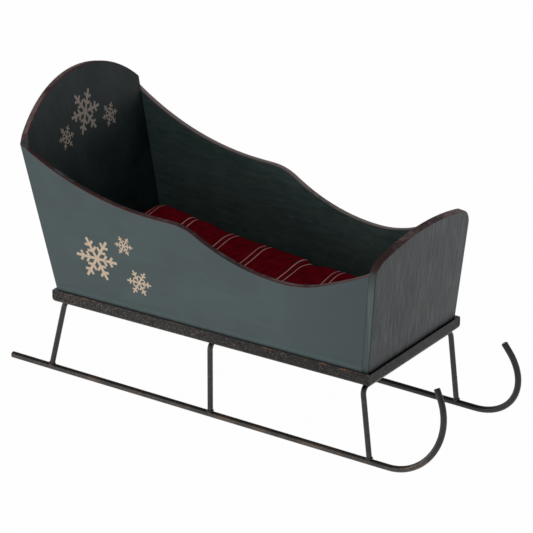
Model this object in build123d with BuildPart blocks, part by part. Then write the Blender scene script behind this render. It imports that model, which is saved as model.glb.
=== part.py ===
"""Toy sleigh: a wooden box body in a welded angle frame, on wire legs and curled wire runners.

Millimetres. X points forward, Y to the sleigh's left and Z up. The runners stand on Z = 0 and the
origin lies on the floor under the middle of the whole sleigh.
"""

import math
import os

from build123d import *

# Runners: round wire, straight along the floor, curled up at the front and leaning in. Each runs just
# inside the frame's front corner
runner_wire = 3.5
runner_inset = 1.25
runner_straight = 247.4
curl_radius = 29.7
curl_sweep = 120.0
curl_tail = 5.6
curl_lean = 11.3
wire_end_break = 0.4

# Base frame: four angle rails, wider at the rear, mitred at the corners
frame_from_runner_end = 134.9
frame_length = 201.4
frame_width = 101.4
frame_narrowing = 12.3
frame_bottom = 45.4
rail_height = 7.2
rail_flange = 10.0
rail_thickness = 1.5
rail_bend = 2.0

# Leg bows: wire bent to a U, its bar welded under the frame and its feet coped on to the runners
leg_wire = 3.0
leg_bend = 4.25
weld_gap = 0.05
rear_bow_inset = 2.9
front_bow_inset = 4.9
middle_bow_setback = 1.7
rear_leg_rake = -0.240
front_leg_rake = 0.113

# Wooden panels: slopes are sideways travel for each millimetre of height
side_thickness = 3.0
end_thickness = 4.2
floor_thickness = 3.0
rim_inset = 1.75
joint_gap = 0.03
side_flare = 0.057
headboard_lean = 0.231
footboard_lean = 0.101
edge_break = 0.5

# Heights above the frame's top edge
headboard_peak = 108.4
headboard_shoulder = 87.7
footboard_peak = 69.8
footboard_shoulder = 63.0
footboard_corner = 9.5
side_rear_height = 83.6
side_front_height = 58.4

# Cushion: fuller at the rear, crowned across
cushion_gap = 0.8
cushion_lift = 0.3
cushion_rear = 24.5
cushion_front = 11.5
cushion_crown = 5.0
cushion_edge_break = 2.5

# Places that follow from the sizes above
runner_radius = runner_wire / 2
leg_radius = leg_wire / 2
rear_tip = -(runner_straight + curl_radius + runner_radius) / 2
frame_middle = rear_tip + frame_from_runner_end
half_length = frame_length / 2
frame_top = frame_bottom + rail_height
panel_seat = rail_thickness - rail_height
frame_width_front = frame_width - frame_narrowing
frame_taper = -frame_narrowing / (2 * frame_length)
half_spacing = frame_width_front / 2 - runner_inset
side_slant = math.sqrt(1 + frame_taper**2 + side_flare**2)
headboard_slant = math.hypot(1, headboard_lean)
footboard_slant = math.hypot(1, footboard_lean)

# The side panels' top edge, from the hump behind the seat to the front: x from the frame's middle,
# height above the frame's top edge. The edge is level for a stretch behind the hump and at the dip
hump = (-22.6, 58.6)
hump_level = 9.5
dip = (47.5, 40.1)
rise = (69.1, 44.0)
swell_share = 0.22
over_length = 1.08

SIDES = (("left", 1), ("right", -1))


def frame_half(x):
    """Half the frame's width at x from its middle."""
    return frame_width / 2 + frame_taper * (x + half_length)


def side_half(x, height):
    """Half the body's width over the side panels' outer faces."""
    return frame_half(x) - rim_inset + side_flare * height


def well_half(x, height):
    """Half the body's width between the side panels' inner faces."""
    return side_half(x, height) - side_thickness * side_slant


def headboard_back(height):
    """The headboard's back face, x from the frame's middle."""
    return -half_length + rim_inset - headboard_lean * height


def headboard_face(height):
    """The headboard's inner face, x from the frame's middle."""
    return headboard_back(height) + end_thickness * headboard_slant


def footboard_front(height):
    """The footboard's front face, x from the frame's middle."""
    return half_length - rim_inset + footboard_lean * height


def footboard_face(height):
    """The footboard's inner face, x from the frame's middle."""
    return footboard_front(height) - end_thickness * footboard_slant


def place(x, y, height):
    """A point given from the frame's middle and top edge."""
    return Vector(frame_middle + x, y, frame_top + height)


def finish(builder, name):
    """Name a finished piece and write it out."""
    builder.part.label = name
    export_step(builder.part, f"parts/{name}.step")


os.makedirs("parts", exist_ok=True)

# Runners: the wire's plane turns about the straight run, so that the curl leans in
for side_name, side in SIDES:
    lean = math.radians(curl_lean)
    runner_plane = Plane(
        origin=(rear_tip, side * half_spacing, runner_radius),
        x_dir=(1, 0, 0),
        z_dir=(0, -math.cos(lean), -side * math.sin(lean)),
    )
    with BuildPart() as runner:
        with BuildLine(runner_plane) as runner_path:
            floor_run = Line((0, 0), (runner_straight, 0))
            curl = JernArc(floor_run @ 1, floor_run % 1, curl_radius, curl_sweep)
            PolarLine(curl @ 1, curl_tail, direction=curl % 1)
        with BuildSketch(Plane(origin=floor_run @ 0, z_dir=floor_run % 0)):
            Circle(runner_radius)
        sweep(path=runner_path.wires()[0])
        chamfer(runner.faces().filter_by(GeomType.PLANE).edges(), wire_end_break)
    finish(runner, f"runner_{side_name}")

# Base frame: folded angle rails, each from one outer corner to the next and mitred at both
frame_corners = [
    Vector(frame_middle - half_length, -frame_width / 2, frame_bottom),
    Vector(frame_middle + half_length, -frame_width_front / 2, frame_bottom),
    Vector(frame_middle + half_length, frame_width_front / 2, frame_bottom),
    Vector(frame_middle - half_length, frame_width / 2, frame_bottom),
]


def mitre_plane(corner):
    """The upright plane that halves a corner, facing the rail that starts there."""
    here = frame_corners[corner]
    onward = (frame_corners[(corner + 1) % 4] - here).normalized()
    backward = (frame_corners[corner - 1] - here).normalized()
    return Plane(origin=here, z_dir=onward - backward)


for corner, rail_name in enumerate(("right", "front", "left", "rear")):
    next_corner = (corner + 1) % 4
    run = frame_corners[next_corner] - frame_corners[corner]
    rail_plane = Plane(origin=frame_corners[corner], x_dir=Vector(0, 0, 1).cross(run), z_dir=run)
    with BuildPart() as rail:
        with BuildSketch(rail_plane):
            with BuildLine():
                FilletPolyline((rail_flange, 0), (0, 0), (0, rail_height), radius=rail_bend)
                offset(amount=rail_thickness, side=Side.RIGHT)
            make_face()
        extrude(amount=run.length)
        split(bisect_by=mitre_plane(corner), keep=Keep.TOP)
        split(bisect_by=mitre_plane(next_corner), keep=Keep.BOTTOM)
    finish(rail, f"base_rail_{rail_name}")

# Leg bows: name, bar's x from the frame's middle, travel of the legs in x for each millimetre down
bows = (
    ("rear", -half_length + rear_bow_inset, rear_leg_rake),
    ("middle", -middle_bow_setback, 0.0),
    ("front", half_length - front_bow_inset, front_leg_rake),
)
bar_height = frame_bottom - weld_gap - leg_radius
leg_drop = bar_height - runner_radius

for bow_name, bar_x, rake in bows:
    leg_length = leg_drop * math.hypot(1, rake)
    foot_x = frame_middle + bar_x + rake * leg_drop
    bow_plane = Plane(origin=(frame_middle + bar_x, 0, bar_height), x_dir=(0, 1, 0), z_dir=(1, 0, rake))
    with BuildPart() as bow:
        with BuildLine(bow_plane) as bow_path:
            FilletPolyline(
                (-half_spacing, -leg_length),
                (-half_spacing, 0),
                (half_spacing, 0),
                (half_spacing, -leg_length),
                radius=leg_bend,
            )
        bow_wire = bow_path.wires()[0]
        with BuildSketch(Plane(origin=bow_wire @ 0, z_dir=bow_wire % 0)):
            Circle(leg_radius)
        sweep(path=bow_wire)
        with Locations((foot_x, -half_spacing, runner_radius), (foot_x, half_spacing, runner_radius)):
            Cylinder(runner_radius + weld_gap, 4 * leg_wire, rotation=(0, 90, 0), mode=Mode.SUBTRACT)
    finish(bow, f"leg_bow_{bow_name}")

# Headboard: between the side panels, leaning back, its top an arch
headboard_plane = Plane(
    origin=place(headboard_back(panel_seat), 0, panel_seat), x_dir=(0, 1, 0), z_dir=(1, 0, headboard_lean)
)


def headboard_point(half_width, height):
    """A point of the headboard's outline, by its half width and height above the frame's top edge."""
    return (half_width, (height - panel_seat) * headboard_slant)


with BuildPart() as back_panel:
    foot_half = well_half(headboard_face(panel_seat), panel_seat) - joint_gap
    shoulder_half = well_half(headboard_face(headboard_shoulder), headboard_shoulder) - joint_gap
    with BuildSketch(headboard_plane):
        with BuildLine():
            foot_right = headboard_point(-foot_half, panel_seat)
            foot_left = headboard_point(foot_half, panel_seat)
            shoulder_right = headboard_point(-shoulder_half, headboard_shoulder)
            shoulder_left = headboard_point(shoulder_half, headboard_shoulder)
            Polyline(shoulder_right, foot_right, foot_left, shoulder_left)
            ThreePointArc(shoulder_left, headboard_point(0, headboard_peak), shoulder_right)
        make_face()
    extrude(amount=end_thickness)
    chamfer(back_panel.edges().filter_by(GeomType.CIRCLE), edge_break)
finish(back_panel, "back_panel")

# Footboard: over the side panels' front ends, leaning forward, a low arch with rounded corners
footboard_plane = Plane(
    origin=place(footboard_front(panel_seat), 0, panel_seat), x_dir=(0, 1, 0), z_dir=(1, 0, -footboard_lean)
)


def footboard_point(half_width, height):
    """A point of the footboard's outline, by its half width and height above the frame's top edge."""
    return (half_width, (height - panel_seat) * footboard_slant)


with BuildPart() as front_panel:
    foot_half = side_half(footboard_front(panel_seat), panel_seat)
    shoulder_half = side_half(footboard_front(footboard_shoulder), footboard_shoulder)
    with BuildSketch(footboard_plane) as footboard_outline:
        with BuildLine():
            foot_right = footboard_point(-foot_half, panel_seat)
            foot_left = footboard_point(foot_half, panel_seat)
            shoulder_right = footboard_point(-shoulder_half, footboard_shoulder)
            shoulder_left = footboard_point(shoulder_half, footboard_shoulder)
            Polyline(shoulder_right, foot_right, foot_left, shoulder_left)
            ThreePointArc(shoulder_left, footboard_point(0, footboard_peak), shoulder_right)
        make_face()
        fillet(footboard_outline.vertices().group_by(Axis.Y)[-1], footboard_corner)
    extrude(amount=-end_thickness)
    front_face = front_panel.faces().filter_by(footboard_plane).sort_by(Axis.X)[-1]
    chamfer(front_face.edges().filter_by(GeomType.CIRCLE), edge_break)
finish(front_panel, "front_panel")

# Side panels: flared, each drawn on its own outer face, over long, and cut at the headboard's back
# face and the footboard's inner face
footboard_joint = footboard_plane.offset(-end_thickness - joint_gap)
well_walls = {}

for side_name, side in SIDES:
    side_plane = Plane(
        origin=place(0, side * side_half(0, 0), 0),
        x_dir=(1, side * frame_taper, 0),
        z_dir=(side * frame_taper, -1, side * side_flare),
    )

    def drawn(x, height):
        """A point of the outer face, from the frame's middle and top edge, in the panel's own plane."""
        flat = side_plane.to_local_coords(place(x, side * side_half(x, height), height))
        return Vector(flat.X, flat.Y)

    hump_point = drawn(*hump)
    level_point = drawn(hump[0] - hump_level, hump[1])
    dip_point = drawn(*dip)
    rise_point = drawn(*rise)
    rear_corner = drawn(headboard_back(side_rear_height), side_rear_height)
    front_corner = drawn(footboard_face(side_front_height), side_front_height)
    swell_end = hump_point + (dip_point - hump_point) * swell_share
    climb = rear_corner - level_point
    rear_radius = (climb.X**2 + climb.Y**2) / (2 * climb.Y)
    rear_sweep = math.degrees(math.atan2(-climb.X, rear_radius - climb.Y))

    with BuildPart() as side_panel:
        with BuildSketch(side_plane):
            with BuildLine():
                swell = TangentArc(hump_point, swell_end, tangent=(1, 0))
                TangentArc(swell_end, dip_point, tangent=swell % 1)
                lift = TangentArc(dip_point, rise_point, tangent=(1, 0))
                front_top = rise_point + (front_corner - rise_point) * over_length
                TangentArc(rise_point, front_top, tangent=lift % 1)
                Line(hump_point, level_point)
                back_sweep = JernArc(level_point, (-1, 0), rear_radius, -over_length * rear_sweep)
                rear_top = back_sweep @ 1
                foot = drawn(0, panel_seat).Y
                Polyline(front_top, (front_top.X, foot), (rear_top.X, foot), rear_top)
            make_face()
        extrude(amount=side * side_thickness)
        chamfer(side_panel.edges().filter_by(GeomType.CIRCLE), edge_break)
        split(bisect_by=headboard_plane, keep=Keep.TOP)
        split(bisect_by=footboard_joint, keep=Keep.BOTTOM)
    well_walls[side_name] = side_plane.offset(side * side_thickness)
    finish(side_panel, f"side_panel_{side_name}")

# Floor: lies on the rails' flanges, inside the four panels
floor_top = panel_seat + floor_thickness
floor_rear = headboard_face(panel_seat) + joint_gap
floor_front = footboard_face(panel_seat) - joint_gap

with BuildPart() as floor_panel:
    with BuildSketch(Plane(place(0, 0, panel_seat))):
        rear_half = well_half(floor_rear, panel_seat) - joint_gap
        front_half = well_half(floor_front, panel_seat) - joint_gap
        Polygon(
            (floor_rear, -rear_half),
            (floor_front, -front_half),
            (floor_front, front_half),
            (floor_rear, rear_half),
            align=None,
        )
    extrude(amount=floor_thickness)
finish(floor_panel, "floor_panel")

# Cushion: a crowned section drawn out over long along its sloping top, then trimmed to the floor, the
# side walls and upright ends
cushion_base = floor_top + cushion_lift
rear_top = place(headboard_face(floor_top) + cushion_gap, 0, cushion_base + cushion_rear)
front_top = place(footboard_face(floor_top) - cushion_gap, 0, cushion_base + cushion_front)
top_run = front_top - rear_top

with BuildPart() as cushion:
    with BuildSketch(Plane(origin=rear_top, x_dir=(0, 1, 0), z_dir=top_run)):
        with BuildLine():
            crown_right = (-frame_width / 2, -cushion_crown)
            crown_left = (frame_width / 2, -cushion_crown)
            foot_right = (-frame_width / 2, -2 * cushion_rear)
            foot_left = (frame_width / 2, -2 * cushion_rear)
            ThreePointArc(crown_right, (0, 0), crown_left)
            Polyline(crown_left, foot_left, foot_right, crown_right)
        make_face()
    extrude(amount=over_length * top_run.length, both=True)
    split(bisect_by=Plane(place(0, 0, cushion_base)), keep=Keep.TOP)
    split(bisect_by=Plane(origin=rear_top, z_dir=(1, 0, 0)), keep=Keep.TOP)
    split(bisect_by=Plane(origin=front_top, z_dir=(1, 0, 0)), keep=Keep.BOTTOM)
    split(bisect_by=well_walls["left"].offset(cushion_gap), keep=Keep.TOP)
    split(bisect_by=well_walls["right"].offset(-cushion_gap), keep=Keep.BOTTOM)
    crown_edges = cushion.faces().filter_by(GeomType.CYLINDER).edges()
    chamfer(crown_edges.group_by(SortBy.LENGTH)[-1], cushion_edge_break)
    for end in (0, -1):
        crown_edges = cushion.faces().filter_by(GeomType.CYLINDER).edges()
        chamfer(crown_edges.group_by(Axis.X)[end], cushion_edge_break)
finish(cushion, "cushion")
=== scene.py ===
"""Looks of the toy sleigh: painted boards, worn metal, weld beads and a striped cushion, around the CAD."""

import math

import bmesh
import bpy
import numpy as np
from mathutils import Matrix, Vector, noise


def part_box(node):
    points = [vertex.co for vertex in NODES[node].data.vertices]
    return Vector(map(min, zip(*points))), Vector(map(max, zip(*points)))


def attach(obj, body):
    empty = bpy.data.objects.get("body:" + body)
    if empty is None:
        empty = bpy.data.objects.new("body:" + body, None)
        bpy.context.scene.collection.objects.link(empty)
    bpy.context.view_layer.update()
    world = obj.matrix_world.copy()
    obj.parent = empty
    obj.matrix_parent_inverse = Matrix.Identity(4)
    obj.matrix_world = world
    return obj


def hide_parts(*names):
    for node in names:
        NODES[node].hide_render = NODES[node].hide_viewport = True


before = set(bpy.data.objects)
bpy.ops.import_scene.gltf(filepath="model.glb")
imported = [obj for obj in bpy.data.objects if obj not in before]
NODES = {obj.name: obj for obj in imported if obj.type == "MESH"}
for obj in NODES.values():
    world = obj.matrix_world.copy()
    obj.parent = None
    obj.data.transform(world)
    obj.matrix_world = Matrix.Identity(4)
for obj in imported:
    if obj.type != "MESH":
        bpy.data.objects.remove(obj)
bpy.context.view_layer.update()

MM = 0.001
SIDES = ("left", "right")
ENDS = ("front", "rear")
BOWS = ("rear", "middle", "front")

# Camera: where the photograph was taken from, in metres and radians
camera_place = Vector((1.278243, -1.887824, 1.102991))
camera_yaw = 0.59485624
camera_pitch = -0.42390113
camera_roll = 0.00128072
focal_pixels = 4641.496
picture_pixels = 533
sensor_width = 36.0
camera_reach = 50.0

# Light: a glowing white sweep below and around, a dim ceiling and two soft lamps
horizon_level = 0.45
ceiling_level = 0.06
ceiling_from = 0.85
floor_reach = 6.0
floor_white = 0.90
floor_glow = 0.85
floor_seen = 0.985
key_place = (-2.0, -1.7, 0.45)
key_watts = 12.0
top_place = (0.1, 0.0, 1.5)
top_watts = 3.6
lamp_target = (0, 0, 0.07)
lamp_size = 1.2


class Wire:
    """One socket of a node tree. Arithmetic on values adds Math nodes; any other node comes from node()."""

    def __init__(self, tree, socket=None):
        self.tree = tree
        self.socket = socket

    def node(self, kind, sockets=None, out=0, **settings):
        """A new node's output, with its settings set first and then the values or links of its sockets."""
        made = self.tree.nodes.new(kind)
        for name, value in settings.items():
            setattr(made, name, value)
        for key, value in (sockets or {}).items():
            if isinstance(value, Wire):
                self.tree.links.new(value.socket, made.inputs[key])
            else:
                made.inputs[key].default_value = value
        return Wire(self.tree, made.outputs[out])

    def math(self, operation, *values):
        return self.node("ShaderNodeMath", dict(enumerate(values)), operation=operation)

    def __add__(self, other):
        return self.math("ADD", self, other)

    def __sub__(self, other):
        return self.math("SUBTRACT", self, other)

    def __rsub__(self, other):
        return self.math("SUBTRACT", other, self)

    def __mul__(self, other):
        return self.math("MULTIPLY", self, other)

    def __truediv__(self, other):
        return self.math("DIVIDE", self, other)

    def __abs__(self):
        return self.math("ABSOLUTE", self)

    __radd__ = __add__
    __rmul__ = __mul__

    def above(self, low, high):
        """0 below low, 1 above high and a soft step between."""
        sockets = {"Value": self, "From Min": low, "From Max": high}
        return self.node("ShaderNodeMapRange", sockets, interpolation_type="SMOOTHSTEP")

    def past(self, base, band):
        """A soft step over a band that is given as two distances from a base."""
        return self.above(base + band[0], base + band[1])

    def blend(self, first, second):
        """A colour from first to second as this value goes from 0 to 1."""
        return self.node("ShaderNodeMix", {0: self, 6: first, 7: second}, out=2, data_type="RGBA")

    def part(self, axis):
        """One part of a vector."""
        return self.node("ShaderNodeSeparateXYZ", {0: self}, out="XYZ".index(axis))

    def dot(self, direction):
        return self.node("ShaderNodeVectorMath", {0: self, 1: direction}, out=1, operation="DOT_PRODUCT")

    def scaled(self, factors):
        return self.node("ShaderNodeVectorMath", {0: self, 1: factors}, operation="MULTIPLY")

    def cloud(self, scale, detail=3.0, roughness=0.55):
        """Soft noise over this vector, about 0.5 on average."""
        sockets = {"Vector": self, "Scale": scale, "Detail": detail, "Roughness": roughness}
        return self.node("ShaderNodeTexNoise", sockets)


def rgb(red, green, blue):
    return (red, green, blue, 1.0)


def new_material(name):
    """A material with its shader and the place on the piece, in metres."""
    material = bpy.data.materials.new(name)
    material.use_nodes = True
    tree = material.node_tree
    return material, tree.nodes["Principled BSDF"], Wire(tree).node("ShaderNodeTexCoord", out=3)


def face_direction(place):
    """The direction that the face at a place points in."""
    return place.node("ShaderNodeNewGeometry", out=3)


def feed(shader, **values):
    """Links or sets a shader's sockets, named with underscores for spaces."""
    for name, value in values.items():
        socket = shader.inputs[name.replace("_", " ")]
        if isinstance(value, Wire):
            value.tree.links.new(value.socket, socket)
        else:
            socket.default_value = value


def relief(height, distance):
    """The normal that a height gives, with its full height as a distance in metres."""
    return height.node("ShaderNodeBump", {"Height": height, "Distance": distance, "Strength": 1.0})


def node_points(node):
    return [v.co for v in NODES[node].data.vertices]


def board_direction(node):
    """The direction square to a board's broad faces, from its largest face, pointing out of the body."""
    mesh = NODES[node].data
    largest = max(mesh.polygons, key=lambda face: face.area)
    direction = largest.normal.copy()
    middle = sum((v.co for v in mesh.vertices), Vector()) / len(mesh.vertices)
    middle.z = 0
    return direction if direction.dot(middle) > 0 else -direction


# Finishes, and painted light and shade, as linear colours
paint_green = rgb(0.080, 0.109, 0.113)
paint_pale = rgb(0.091, 0.124, 0.127)
# Painted shade for the side panels' front:
painted_front_shade_green = rgb(0.070, 0.095, 0.100)
paint_edge = rgb(0.102, 0.130, 0.134)
# Painted light for the side panels' foot, just above the rails:
foot_painted_light = rgb(0.138, 0.186, 0.192)
paint_streak = rgb(0.038, 0.039, 0.041)
paint_dull = rgb(0.064, 0.071, 0.074)
paint_light = rgb(0.094, 0.104, 0.107)
paint_inside = rgb(0.050, 0.094, 0.088)
paint_brushed = rgb(0.118, 0.182, 0.170)
# Painted shade for the headboard's inner face and the shoulder wedge; the darkest also draws a dark line
# along the footboard's brink:
painted_shade_and_dark_line = rgb(0.0042, 0.0096, 0.0096)
painted_shade_green = rgb(0.0135, 0.0230, 0.0235)
bare_dark = rgb(0.052, 0.025, 0.025)
bare_red = rgb(0.110, 0.022, 0.028)
bare_pale = rgb(0.195, 0.145, 0.138)
bare_far = rgb(0.30, 0.235, 0.225)
stamp_cream = rgb(0.74, 0.58, 0.43)
stamp_grey = rgb(0.34, 0.29, 0.25)
iron_black = rgb(0.008, 0.008, 0.008)
iron_dark = rgb(0.038, 0.036, 0.034)
iron_front = rgb(0.020, 0.020, 0.019)
iron_brown = rgb(0.072, 0.052, 0.044)
iron_pale = rgb(0.150, 0.130, 0.118)
wire_grey = rgb(0.050, 0.048, 0.045)
wire_dark = rgb(0.054, 0.052, 0.049)
wire_brown = rgb(0.112, 0.088, 0.075)
wire_shade = rgb(0.034, 0.034, 0.034)
copper = rgb(0.22, 0.10, 0.058)
cloth_red = rgb(0.250, 0.0018, 0.0135)
cloth_deep = rgb(0.105, 0.0004, 0.0042)
cloth_line = rgb(0.86, 0.56, 0.53)

# Depths of the finishes' relief
board_relief = 0.06 * MM
iron_relief = 0.16 * MM
cloth_relief = 0.16 * MM

# How far a face points a given way, as a soft step between two cosines
broad_facing = (0.80, 0.95)
rim_facing = (0.22, 0.45)
arris_facing = (0.30, 0.60)
end_facing = (0.6, 0.8)
rail_side_facing = (0.5, 0.8)
ledge_facing = (0.6, 0.9)

# Measures read from the CAD that finishes start from
rail_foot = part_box("base_rail_front")[0].z
rail_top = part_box("base_rail_front")[1].z
level_slack = 0.5 * MM
end_inset = 0.8 * MM
foot_direction = board_direction("front_panel")
foot_points = node_points("front_panel")
foot_low = min(c.z for c in foot_points)
foot_side = min(c.y for c in foot_points)
foot_shoulder = max(c.z for c in foot_points if c.y < foot_side + level_slack)
foot_corner = max(c.x for c in foot_points if c.z < foot_low + level_slack) + end_inset
foot_brink = max(c.dot(foot_direction) for c in foot_points)

# Bands in which finishes, painted shade and painted light change: along the sleigh, or from one of the
# measures above
# Painted shade: the outer paint darkens towards the front
front_painted_shade = (25 * MM, 95 * MM)
# Painted light band above the rails' top:
foot_painted_light_band = (-0.2 * MM, 4.0 * MM)
pale_end = (-0.2 * MM, 0.5 * MM)
worn_shoulder = (-14 * MM, -1 * MM)
dark_brink = (-0.5 * MM, -0.3 * MM)
rail_shade = (-60 * MM, 60 * MM)
copper_edge = (-1.3 * MM, -0.3 * MM)
# Painted shadow on the legs just under the rails' foot:
painted_shadow_band = (-3.2 * MM, -0.8 * MM)
dark_curl = (9 * MM, 27 * MM)

# How much of the darker or brighter colour those bands take
rail_shade_share = 0.35
copper_share = 0.8
painted_shadow_share = 0.85
curl_share = 0.75


def flake(place_across, place_up, size, arms=6):
    """A plain stamped snow star: arms with two pairs of side twigs, 1 on the print and 0 off it."""
    reach = place_across.math("SQRT", place_across * place_across + place_up * place_up) / size
    turn = place_across.math("ARCTAN2", place_up, place_across)
    folded = abs(turn.math("PINGPONG", turn, math.pi / arms))
    along = reach * folded.math("COSINE", folded)
    aside = reach * folded.math("SINE", folded)
    mask = (1 - aside.above(0.045, 0.075)) * (1 - along.above(0.94, 0.99))
    twig_cosine = math.cos(math.pi / 3)
    twig_sine = math.sin(math.pi / 3)
    for root, length in ((0.34, 0.26), (0.62, 0.24)):
        twig_along = (along - root) * twig_cosine + aside * twig_sine
        twig_aside = abs((along - root) * twig_sine - aside * twig_cosine)
        inside = (1 - twig_along.above(length - 0.02, length + 0.02)) * twig_along.above(-0.03, 0.0)
        mask = mask.math("MAXIMUM", mask, (1 - twig_aside.above(0.04, 0.07)) * inside)
    return mask


def stamped(paint, place, squareness, axis, side, colour, stamps):
    """Worn snow stars over a paint, on one broad face. A stamp is its place on the axis, height and size."""
    for across, up, size in stamps:
        here = flake(place.part(axis) - across * MM, place.part("Z") - up * MM, size * MM)
        worn = place.cloud(900.0, detail=3.0).above(0.30, 0.36)
        paint = (here * worn * (squareness * side).above(*broad_facing)).blend(paint, colour)
    return paint


def outer_paint(place, mottle, brushed, foot):
    """Two greens in soft brush marks, painted shade darker to the front and painted light paler just above a
    foot.
    """
    tone = (mottle * 0.6 + brushed * 0.4).above(0.34, 0.66)
    paint = tone.blend(paint_green, paint_pale)
    # Painted shade: the outer paint darkens towards the front
    paint = place.part("X").above(*front_painted_shade).blend(paint, painted_front_shade_green)
    # Painted light: paler paint just above the foot, against the shade that the rails' ledge gives there
    if foot:
        paint = place.part("Z").past(foot, foot_painted_light_band).blend(foot_painted_light, paint)
    return paint


def inner_paint(place, mottle, brushed, grain, paints, blotchy):
    """Two paints in strokes along the grain. The blotchier they are, the broader and sharper the marks."""
    marbled = place.scaled(grain).scaled((4.0, 1.2, 1.2)).cloud(1.0, detail=5.0, roughness=0.75)
    strokes = marbled * (0.55 - blotchy) + brushed * 0.25 + mottle * (0.20 + blotchy)
    return strokes.above(0.31 + 0.25 * blotchy, 0.69 - 0.25 * blotchy).blend(*paints)


def washed_paint(place, brushed, grain):
    """A thin wash in long streaks with dull patches, lighter towards the left side."""
    broad = place.scaled(grain).scaled((0.4, 0.4, 0.7)).cloud(1.0, detail=4.0, roughness=0.7)
    streak = (broad * 0.6 + brushed * 0.4 - place.part("Y") * 0.8).above(0.38, 0.62)
    patch = place.cloud(70.0, detail=4.0).above(0.40, 0.62) * 0.7
    return (1 - patch).blend(paint_dull, streak.blend(paint_light, paint_streak))


def footboard_end(paint, place, facing):
    """The footboard's ends over its paint: pale, worn dull towards the shoulder and dark along the brink."""
    endways = abs(facing.part("Y")).above(*end_facing)
    worn_end = place.part("Z").past(foot_shoulder, worn_shoulder).blend(paint_edge, paint_dull)
    paint = (endways * place.part("X").past(foot_corner, pale_end)).blend(paint, worn_end)
    return (endways * place.dot(foot_direction).past(foot_brink, dark_brink)).blend(paint, painted_shade_and_dark_line)


def sanded_rim(place, arris, paler, palest, red_share):
    """Bare board along a sanded rim, paler in one direction, with red left on its arris."""
    wear = place.cloud(48.0, detail=4.0)
    fleck = place.cloud(420.0, detail=3.0)
    edge = (wear * 0.7 + fleck * 0.3 + place.dot(paler)).above(0.42, 0.62).blend(bare_dark, palest)
    red = arris * red_share * (fleck * 0.5 + wear * 0.5).above(0.42, 0.54)
    return red.blend(edge, bare_red)


def board(name, outward, grain, inside, paler, inside_from=-0.7, blotchy=0.0, foot=None, streaks=0.0,
          pale_ends=False, prints=None, palest=bare_pale, red_share=1.0, arris_side=1):
    """Painted board, sanded through along its top.

    Grain is how fast noise runs on each axis. Inside is the two paints of its inner face, which reach as far
    round as faces that point outward by inside_from. Paler is the direction in which the sanded rim grows
    paler, up to palest. Red_share is how much red its arris keeps, on the outer edge for an arris_side of 1
    and on the inner edge for -1.
    """
    material, shader, place = new_material(name)
    facing = face_direction(place)
    squareness = facing.dot(outward)
    broad_face = abs(squareness).above(*broad_facing)
    rim = (1 - broad_face) * facing.part("Z").above(*rim_facing)
    arris = rim * (squareness * arris_side).above(*arris_facing)
    mottle = place.cloud(55.0)
    speck = place.cloud(1400.0, detail=2.0)
    brushed = place.scaled(grain).cloud(1.0, detail=4.0)
    inner = inner_paint(place, mottle, brushed, grain, inside, blotchy)
    outer = outer_paint(place, mottle, brushed, foot)
    paint = squareness.above(inside_from - 0.1, inside_from + 0.1).blend(inner, outer)
    if streaks:
        paint = (broad_face * streaks).blend(paint, washed_paint(place, brushed, grain))
    if pale_ends:
        paint = footboard_end(paint, place, facing)
    if prints:
        paint = stamped(paint, place, squareness, *prints)
    edge = sanded_rim(place, arris, paler, palest, red_share)
    kept = place.cloud(26.0, detail=5.0, roughness=0.65)
    bare = rim * (kept + arris * 0.10).above(0.34, 0.42)
    feed(shader, Base_Color=bare.blend(paint, edge), Roughness=0.47 + speck * 0.10 + bare * 0.12)
    feed(shader, Normal=relief(brushed * 0.7 + speck * 0.3, board_relief), Specular_IOR_Level=0.2)
    return material


def rail_finish(colour, place, patches, ledge):
    """A rail's iron, darker to the front, with copper along its outer top edge and a ledge in a colour of
    its own, painted light when pale and painted shade when black.
    """
    facing = face_direction(place)
    colour = (place.part("X").above(*rail_shade) * rail_shade_share).blend(colour, iron_black)
    flecks = place.scaled((0.35, 0.35, 1.0)).cloud(520.0, detail=4.0, roughness=0.7).above(0.54, 0.60)
    flecks = place.part("Z").past(rail_top, copper_edge) * flecks
    sideways = abs(facing.part("Y")).above(*rail_side_facing)
    colour = (flecks * sideways * patches.above(0.44, 0.56) * copper_share).blend(colour, copper)
    # The ledge's top takes painted light in pale and painted shade in black
    return facing.part("Z").above(*ledge_facing).blend(colour, ledge)


def iron(name, dark, brown, brown_share, grit_share, ledge=None, painted_rail_shadow=False, curled=False):
    """Dark burnished iron with brown patches and grit. A rail's ledge gets a colour of its own, painted
    light when pale and painted shade when black; a leg can get a painted shadow, black just under the frame;
    and a curled runner is darker in its curl."""
    material, shader, place = new_material(name)
    patches = place.cloud(45.0, detail=5.0, roughness=0.62)
    grit = place.cloud(1200.0, detail=3.0, roughness=0.7)
    rusty = (patches + (grit - 0.5) * 0.6).above(0.54 - brown_share, 0.72 - brown_share)
    colour = rusty.blend(dark, brown)
    colour = (grit.above(0.52, 0.68) * grit_share).blend(colour, iron_pale)
    colour = ((1 - grit.above(0.34, 0.46)) * grit_share).blend(colour, iron_black)
    if curled:
        colour = (place.part("Z").above(*dark_curl) * curl_share).blend(colour, wire_shade)
    # Painted shadow: the leg turns black just under the frame, where the rail's shadow falls
    if painted_rail_shadow:
        colour = (place.part("Z").past(rail_foot, painted_shadow_band) * painted_shadow_share).blend(colour, iron_black)
    if ledge:
        colour = rail_finish(colour, place, patches, ledge)
    feed(shader, Base_Color=colour, Roughness=0.30 + grit * 0.24, Metallic=0.9)
    feed(shader, Normal=relief(grit * 0.7 + patches * 0.3, iron_relief * grit_share))
    return material


# Cushion's stripes: pairs of lines across it, counted from the headboard, at their places along it in mm
pair_places = (-115.0, -91.0, -67.0, -41.0, -18.6, 7.4, 30.0, 53.5, 77.0, 101.0)
stripe_pitch = 24.0 * MM
pair_half_gap = 1.75 * MM
line_half = 0.28 * MM
stripe_bow = 3.0 * MM
bow_half = 0.85
stripe_slant = 0.065
thread_turns = 2 * math.pi / (0.9 * MM)


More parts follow.
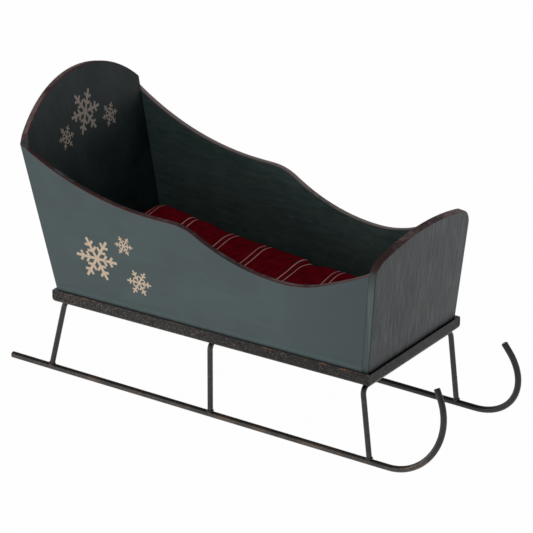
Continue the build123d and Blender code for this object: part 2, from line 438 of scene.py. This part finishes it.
def cloth(name):
    """Red woven cloth with paired pale lines, placed by the cushion's own stripe count."""
    material, shader, place = new_material(name)
    count = place.node("ShaderNodeAttribute", out=2, attribute_name="stripe")
    gap = abs(count.math("FRACT", count + 0.5) - 0.5) * stripe_pitch
    line = 1 - abs(gap - pair_half_gap).above(line_half * 0.55, line_half * 1.45)
    warp = place.math("SINE", place.part("X") * thread_turns)
    weft = place.math("SINE", place.part("Y") * thread_turns)
    weave = warp * weft * 0.5 + 0.5
    slub = place.scaled((1.0, 0.25, 0.6)).cloud(620.0, detail=3.0)
    fade = place.cloud(170.0, detail=4.0, roughness=0.65)
    ground = (slub * 0.45 + weave * 0.15 + fade * 0.40).above(0.34, 0.66).blend(cloth_deep, cloth_red)
    feed(shader, Base_Color=(line * (0.62 + slub * 0.35)).blend(ground, cloth_line))
    feed(shader, Roughness=0.9, Specular_IOR_Level=0.06)
    feed(shader, Normal=relief(weave * 0.6 + slub * 0.4, cloth_relief))
    return material


def give(node, material):
    NODES[node].material_slots[0].material = material


# Boards: grain as noise per metre on each axis, and prints as axis, side, colour and stamps in mm
green_inside = (paint_inside, paint_brushed)
painted_shade_inside = (painted_shade_and_dark_line, painted_shade_green)
painted_shade_wedge = (painted_shade_green, paint_dull)
along_sides = (30.0, 500.0, 500.0)
up_ends = (500.0, 1300.0, 75.0)
evenly = (0, 0, 0)
every_face = 2.0
side_prints = ("X", 1, stamp_cream, ((-76.0, 78.0, 13.5), (-49.0, 70.0, 8.0), (-58.0, 90.0, 6.0)))
head_prints = ("Y", -1, stamp_grey, ((0.0, 137.0, 13.0), (-20.0, 129.0, 7.0), (20.0, 129.0, 7.0)))
paler_sides = {"left": (0.4, 3.6, 0), "right": (1.2, 0.8, 0)}
palest_sides = {"left": bare_far, "right": bare_pale}

for side in SIDES:
    node = f"side_panel_{side}"
    # The side panels get painted shade towards the front and painted light above the rails' top
    side_paint = board(f"paint_{node}", board_direction(node), along_sides, green_inside, paler_sides[side],
                       foot=rail_top, prints=side_prints, palest=palest_sides[side])
    give(node, side_paint)
# The headboard's inner face gets the two darkest greens as painted shade
head_paint = board("paint_and_shade_back_panel", board_direction("back_panel"), up_ends, painted_shade_inside, (0, -1.3, 0),
                   inside_from=0.8, blotchy=0.35, prints=head_prints, arris_side=-1)
give("back_panel", head_paint)
foot_paint = board("paint_front_panel", foot_direction, up_ends, green_inside, (0, 3.5, 0),
                   streaks=1.0, pale_ends=True, red_share=0.35)
give("front_panel", foot_paint)
floor_paint = board("paint_floor_panel", Vector((0, 0, -1)), along_sides, green_inside, evenly, streaks=0.5)
give("floor_panel", floor_paint)

# Metal: shares of brown and of grit follow each piece's two colours
# Side rails: a pale ledge, painted light on their top
rail_iron = iron("iron_rails", iron_dark, iron_brown, -0.03, 0.95, ledge=iron_pale)
# End rails: a black ledge, painted shade where the boards meet their top
end_iron = iron("iron_end_rails", iron_front, iron_dark, 0.0, 0.6, ledge=iron_black)
leg_iron = iron("iron_legs", wire_grey, wire_brown, -0.02, 0.35, painted_rail_shadow=True)
runner_irons = {
    # The far runner is a darker copy with less brown: painted shade from the sleigh above it
    "left": iron("iron_runner_left_painted_shade", wire_shade, wire_brown, -0.06, 0.2, curled=True),
    "right": iron("iron_runner_right", wire_dark, wire_brown, 0.12, 0.2, curled=True),
}
for side in SIDES:
    give(f"base_rail_{side}", rail_iron)
    give(f"runner_{side}", runner_irons[side])
for end in ENDS:
    give(f"base_rail_{end}", end_iron)
for bow in BOWS:
    give(f"leg_bow_{bow}", leg_iron)


def mesh_from(bm, name):
    mesh = bpy.data.meshes.new(name)
    bm.to_mesh(mesh)
    bm.free()
    return mesh


def new_piece(name, mesh, material):
    """A finished piece on the sleigh's one body."""
    piece = bpy.data.objects.new(name, mesh)
    bpy.context.scene.collection.objects.link(piece)
    mesh.materials.clear()
    mesh.materials.append(material)
    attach(piece, "root")
    return piece


# Shoulder: a painted wedge that carries the headboard's right shoulder out to the side panel's corner
wedge_reach = 5 * MM
edge_slack = 0.1 * MM
side_points = node_points("side_panel_right")
head_points = node_points("back_panel")
side_end = min(c.x for c in side_points)
side_top = max(c.z for c in side_points)
head_edge = min(c.y for c in head_points)
wedge = bmesh.new()
for point in side_points:
    if point.x < side_end + wedge_reach and point.z > side_top - wedge_reach:
        wedge.verts.new(point)
for point in head_points:
    if point.y < head_edge + edge_slack and point.z > side_top:
        wedge.verts.new(point)
hull = bmesh.ops.convex_hull(wedge, input=wedge.verts)
left_over = {v for v in hull["geom_interior"] + hull["geom_unused"] if isinstance(v, bmesh.types.BMVert)}
bmesh.ops.delete(wedge, geom=list(left_over), context="VERTS")
# The wedge takes darker paints on every face: painted shade
wedge_paint = board("painted_shade_shoulder", board_direction("side_panel_right"), along_sides, painted_shade_wedge, evenly,
                    inside_from=every_face)
new_piece("shoulder_right", mesh_from(wedge, "shoulder_right"), wedge_paint)

# Welds: a lumpy collar at each leg's foot, and a thin seam down each corner of the frame
leg_radius = 1.5 * MM
runner_radius = 1.75 * MM
collar_radius = 1.95 * MM
collar_height = 1.5 * MM
collar_lift = 0.2 * MM
leg_foot_reach = 1.0 * MM
leg_bar_reach = 0.3 * MM
seam_radius = 0.3 * MM
seam_low = rail_top - 5.4 * MM
seam_high = rail_top - 0.1 * MM
bead_rings = 7
bead_spokes = 20
lump_pace = 1.4
lump_rise = 1.5
upright = Vector((0, 0, 1))


def bead(bm, centre, radius, height, axis, seed):
    """Adds one lumpy ring of weld metal round an axis."""
    turn = axis.to_track_quat("Z", "Y").to_matrix()
    rows = []
    for i in range(bead_rings):
        t = i / (bead_rings - 1)
        swell = math.sin(math.pi * t) ** 0.6
        row = []
        for j in range(bead_spokes):
            angle = 2 * math.pi * j / bead_spokes
            c, s = math.cos(angle), math.sin(angle)
            lump = noise.noise(Vector((c * lump_pace, s * lump_pace + seed, t * lump_rise)))
            out = radius * (0.62 + 0.38 * swell + 0.13 * lump)
            row.append(bm.verts.new(centre + turn @ Vector((out * c, out * s, (t - 0.5) * height))))
        rows.append(row)
    for low, high in zip(rows, rows[1:]):
        for j in range(bead_spokes):
            k = (j + 1) % bead_spokes
            bm.faces.new((low[j], low[k], high[k], high[j]))
    bm.faces.new(list(reversed(rows[0])))
    bm.faces.new(rows[-1])


for bow in BOWS:
    low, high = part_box(f"leg_bow_{bow}")
    bow_points = node_points(f"leg_bow_{bow}")
    bar_xs = [c.x for c in bow_points if c.z > high.z - leg_bar_reach]
    bar_x = sum(bar_xs) / len(bar_xs)
    collars = bmesh.new()
    for seed, sign in enumerate((-1, 1)):
        foot_xs = [c.x for c in bow_points if c.y * sign > 0 and c.z < low.z + leg_foot_reach]
        foot_x = sum(foot_xs) / len(foot_xs)
        leg = Vector((bar_x - foot_x, 0, high.z - low.z)).normalized()
        base = Vector((foot_x, sign * (high.y - leg_radius), 2 * runner_radius))
        bead(collars, base + leg * collar_lift, collar_radius, collar_height, leg, seed * 3.1 + foot_x * 90)
    collar_mesh = mesh_from(collars, f"welds_{bow}")
    collar_mesh.shade_smooth()
    new_piece(f"welds_{bow}", collar_mesh, leg_iron)

corner_seams = bmesh.new()
for end in ENDS:
    for seed, sign in enumerate((-1, 1)):
        tip = max(node_points(f"base_rail_{end}"), key=lambda c: sign * c.y)
        corner = Vector((tip.x, tip.y, (seam_low + seam_high) / 2))
        bead(corner_seams, corner, seam_radius, seam_high - seam_low, upright, seed * 5.3 + tip.x * 70)
seam_mesh = mesh_from(corner_seams, "welds_frame")
seam_mesh.shade_smooth()
new_piece("welds_frame", seam_mesh, rail_iron)

# Cushion's place: the well between the boards, as wide as its floor and flared by how the boards lean
floor_points = node_points("floor_panel")
floor_top = max(c.z for c in floor_points)
well_rear = min(c.x for c in floor_points)
well_front = max(c.x for c in floor_points)
well_rear_half = max(c.y for c in floor_points if c.x < 0)
well_front_half = max(c.y for c in floor_points if c.x > 0)
side_flare = 0.057
head_lean = 0.231
foot_lean = 0.101
pad_gap = 0.5 * MM
pad_lift = 0.3 * MM
pad_foot = floor_top + pad_lift

# Cushion's form: its crown by places along it in mm, and its tucks as place along, side and depth in mm
crown_line = ((-103.0, 28.2), (-98.0, 27.0), (-72.0, 24.6), (-47.0, 21.4), (-24.0, 19.5), (-8.0, 19.0),
              (16.0, 17.8), (28.0, 17.2), (50.0, 16.2), (75.0, 15.2), (91.0, 14.4))
tucks = ((9.0, 1, 4.0), (-69.0, 1, 1.2), (-33.0, -1, 1.6), (48.0, -1, 2.2))
tuck_width = 4.5 * MM
pucker_height = 1.1 * MM
roll_height = 0.8 * MM
pad_shrink = 0.8 * MM
pad_waist = 0.42
width_level = 0.3
side_power = 0.30
crown_power = 0.45
sole_power = 0.28
end_power = 40
steps_long = 72
steps_round = 64

# Cushion's swelling: the simulation runs at a larger scale
sim_scale = 6.0
sim_voxel = 2.6 * MM
sim_frames = 20
sim_cap = 2.2 * MM
sim_settings = {
    "quality": 6,
    "mass": 0.25,
    "tension_stiffness": 18.0,
    "compression_stiffness": 18.0,
    "shear_stiffness": 8.0,
    "bending_stiffness": 0.4,
    "use_pressure": True,
    "uniform_pressure_force": 4.0,
}
least_move = 1e-9


def well_half(x, height):
    """Half the well's width at x and a height above its floor."""
    share = (x - well_rear) / (well_front - well_rear)
    return well_rear_half + (well_front_half - well_rear_half) * share + side_flare * height


def crown_height(x):
    """The cushion's height above the well's floor at x."""
    places, heights = zip(*crown_line)
    return float(np.interp(x / MM, places, heights)) * MM


def pad_start(shrink):
    """The cushion before it swells, as a closed grid: rounded sides, a flat foot and a crowned top."""
    bm = bmesh.new()
    rows = []
    rear = well_rear + pad_gap + shrink
    front = well_front - pad_gap - shrink
    for i in range(steps_long + 1):
        share = i / steps_long
        x = rear + (front - rear) * share
        taper = max(1 - abs(2 * share - 1) ** end_power, 0.0) ** 0.5
        crown = crown_height(x) - shrink
        half = (well_half(x, width_level * crown) - pad_gap - shrink) * (0.98 + 0.02 * taper)
        middle = pad_waist * crown
        row = []
        for j in range(steps_round):
            angle = 2 * math.pi * j / steps_round
            c, s = math.cos(angle), math.sin(angle)
            across = math.copysign(abs(c) ** side_power, c) * half
            if s >= 0:
                up = middle + (crown - middle) * s ** crown_power * (0.6 + 0.4 * taper)
            else:
                up = middle - middle * abs(s) ** sole_power * (0.6 + 0.4 * taper)
            lean = (foot_lean * share - head_lean * (1 - share)) * up
            row.append(bm.verts.new((x + lean, across, pad_foot + max(up, 0.0))))
        rows.append(row)
    for low, high in zip(rows, rows[1:]):
        for j in range(steps_round):
            k = (j + 1) % steps_round
            bm.faces.new((low[j], high[j], high[k], low[k]))
    bm.faces.new(rows[0])
    bm.faces.new(list(reversed(rows[-1])))
    bmesh.ops.recalc_face_normals(bm, faces=bm.faces)
    return mesh_from(bm, "pad_start")


def applied(piece):
    """The piece's mesh with its modifiers worked out."""
    graph = bpy.context.evaluated_depsgraph_get()
    graph.update()
    return bpy.data.meshes.new_from_object(piece.evaluated_get(graph))


def points(mesh):
    flat = np.empty(len(mesh.vertices) * 3)
    mesh.vertices.foreach_get("co", flat)
    return flat.reshape(-1, 3)


def put_points(mesh, places):
    mesh.vertices.foreach_set("co", np.ascontiguousarray(places).ravel())
    mesh.update()


def blown_up(trial):
    """The places of a mesh's points after the cloth simulation, with gravity off."""
    swell = trial.modifiers.new("swell", "CLOTH")
    for name, value in sim_settings.items():
        setattr(swell.settings, name, value)
    swell.settings.effector_weights.gravity = 0.0
    swell.collision_settings.use_collision = False
    swell.point_cache.frame_start = 1
    swell.point_cache.frame_end = sim_frames
    scene = bpy.context.scene
    for step in range(1, sim_frames + 1):
        scene.frame_set(step)
        bpy.context.view_layer.update()
    after = points(applied(trial))
    scene.frame_set(1)
    trial.modifiers.clear()
    return after


def swollen(mesh):
    """Swells the pad with the cloth simulation, caps how far each point moves, and makes it finer."""
    mesh.transform(Matrix.Scale(sim_scale, 4))
    trial = bpy.data.objects.new("pad_trial", mesh)
    bpy.context.scene.collection.objects.link(trial)
    remesh = trial.modifiers.new("remesh", "REMESH")
    remesh.mode = "VOXEL"
    remesh.voxel_size = sim_voxel * sim_scale
    trial.data = applied(trial)
    trial.modifiers.clear()
    before = points(trial.data)
    move = blown_up(trial) - before
    length = np.linalg.norm(move, axis=1, keepdims=True)
    cap = sim_cap * sim_scale
    put_points(trial.data, before + move * np.minimum(1.0, cap / np.maximum(length, least_move)))
    finer = trial.modifiers.new("finer", "SUBSURF")
    finer.levels = 1
    mesh = applied(trial)
    bpy.data.objects.remove(trial)
    mesh.transform(Matrix.Scale(1 / sim_scale, 4))
    return mesh


def settle(mesh):
    """Gathers the pad along its sides and keeps it inside the well's walls and above its floor."""
    places = points(mesh)
    settled = np.empty_like(places)
    for i, (x, y, z) in enumerate(places):
        height = z - floor_top
        risen = min(1.0, max(0.0, height / crown_height(x)))
        edge = min(1.0, abs(y) / well_half(x, height))
        pucker = noise.noise(Vector((x * 85, y * 18, 4.0)))
        z += pucker_height * pucker * edge ** 3 * risen
        roll = noise.noise(Vector((x * 24, y * 14, 9.0)))
        z += roll_height * roll * risen ** 2
        for tuck_x, tuck_side, depth in tucks:
            near = math.exp(-((x - tuck_x * MM) / tuck_width) ** 2)
            z -= depth * MM * near * max(0.0, tuck_side * y / well_half(x, height)) ** 2
        z = max(z, pad_foot)
        height = z - floor_top
        half = well_half(x, height) - pad_gap
        y = max(-half, min(half, y))
        rear = well_rear + pad_gap - head_lean * height
        front = well_front - pad_gap + foot_lean * height
        settled[i] = (max(rear, min(front, x)), y, z)
    put_points(mesh, settled)


def count_stripes(mesh):
    """Keeps on each point how many pairs of lines lie behind it, bowed and slanted across the cushion."""
    along, across = points(mesh).T[:2]
    bow_turn = math.pi / 2 * across / (bow_half * well_rear_half)
    bowed = along - stripe_bow * np.cos(bow_turn) ** 2 + stripe_slant * across
    counts = np.interp(bowed / MM, pair_places, np.arange(len(pair_places)))
    stripe = mesh.attributes.new("stripe", "FLOAT", "POINT")
    stripe.data.foreach_set("value", counts.astype(np.float32))


pad_mesh = swollen(pad_start(pad_shrink))
pad_mesh.name = "seat_cushion"
settle(pad_mesh)
count_stripes(pad_mesh)
pad_mesh.shade_smooth()
cushion = new_piece("seat_cushion", pad_mesh, cloth("striped_cloth"))
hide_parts("cushion")


def seen(start):
    """1 for what the camera, a reflection or a clear piece sees, 0 for light on surfaces."""
    camera_ray = start.node("ShaderNodeLightPath", out=0)
    glossy_ray = start.node("ShaderNodeLightPath", out=3)
    clear_ray = start.node("ShaderNodeLightPath", out=6)
    return camera_ray.math("MAXIMUM", camera_ray.math("MAXIMUM", camera_ray, glossy_ray), clear_ray)


# Floor: pale and matt, glowing white
floor_corners = [(x * floor_reach, y * floor_reach, 0) for x, y in ((-1, -1), (1, -1), (1, 1), (-1, 1))]
floor_mesh = bpy.data.meshes.new("studio_floor")
floor_mesh.from_pydata(floor_corners, [], [(0, 1, 2, 3)])
floor = bpy.data.objects.new("studio_floor", floor_mesh)
bpy.context.scene.collection.objects.link(floor)
floor_material = bpy.data.materials.new("studio_floor")
floor_material.use_nodes = True
floor_tree = floor_material.node_tree
floor_tree.nodes.clear()
floor_start = Wire(floor_tree)
matt = floor_start.node("ShaderNodeBsdfDiffuse", {"Color": rgb(floor_white, floor_white, floor_white)})
glow = floor_start.node("ShaderNodeEmission", {"Color": rgb(1, 1, 1), "Strength": 1.0})
floor_share = floor_glow + seen(floor_start) * (floor_seen - floor_glow)
floor_mix = floor_start.node("ShaderNodeMixShader", {0: floor_share, 1: matt, 2: glow})
floor_output = floor_tree.nodes.new("ShaderNodeOutputMaterial")
floor_tree.links.new(floor_mix.socket, floor_output.inputs["Surface"])
floor_mesh.materials.append(floor_material)

# World: white at the horizon and dim overhead
world = bpy.data.worlds.new("studio")
bpy.context.scene.world = world
world.use_nodes = True
world_start = Wire(world.node_tree)
background = world.node_tree.nodes["Background"]
background.inputs["Color"].default_value = rgb(1, 1, 1)
skyward = world_start.node("ShaderNodeTexCoord", out=0).part("Z")
horizon = horizon_level + seen(world_start) * (1.0 - horizon_level)
world_strength = horizon + skyward.above(0.0, ceiling_from) * (ceiling_level - horizon)
world.node_tree.links.new(world_strength.socket, background.inputs["Strength"])


def lamp(name, place, watts):
    """A soft round lamp that points at the sleigh."""
    light = bpy.data.lights.new(name, "AREA")
    light.shape = "DISK"
    light.size = lamp_size
    light.energy = watts
    holder = bpy.data.objects.new(name, light)
    bpy.context.scene.collection.objects.link(holder)
    holder.location = place
    holder.rotation_euler = (Vector(lamp_target) - Vector(place)).to_track_quat("-Z", "Y").to_euler()


lamp("key_light", key_place, key_watts)
lamp("top_light", top_place, top_watts)

# Camera
camera_data = bpy.data.cameras.new("photo_camera")
camera_data.sensor_width = sensor_width
camera_data.lens = focal_pixels * sensor_width / picture_pixels
camera_data.clip_end = camera_reach
camera = bpy.data.objects.new("photo_camera", camera_data)
bpy.context.scene.collection.objects.link(camera)
ahead = Vector((-math.sin(camera_yaw) * math.cos(camera_pitch),
                math.cos(camera_yaw) * math.cos(camera_pitch),
                math.sin(camera_pitch)))
right = Vector((math.cos(camera_yaw), math.sin(camera_yaw), 0))
upward = right.cross(ahead)
turn = Matrix((right, upward, -ahead)).transposed() @ Matrix.Rotation(camera_roll, 3, "Z")
camera.matrix_world = Matrix.Translation(camera_place) @ turn.to_4x4()
bpy.context.scene.camera = camera
bpy.context.scene.view_settings.view_transform = "Standard"
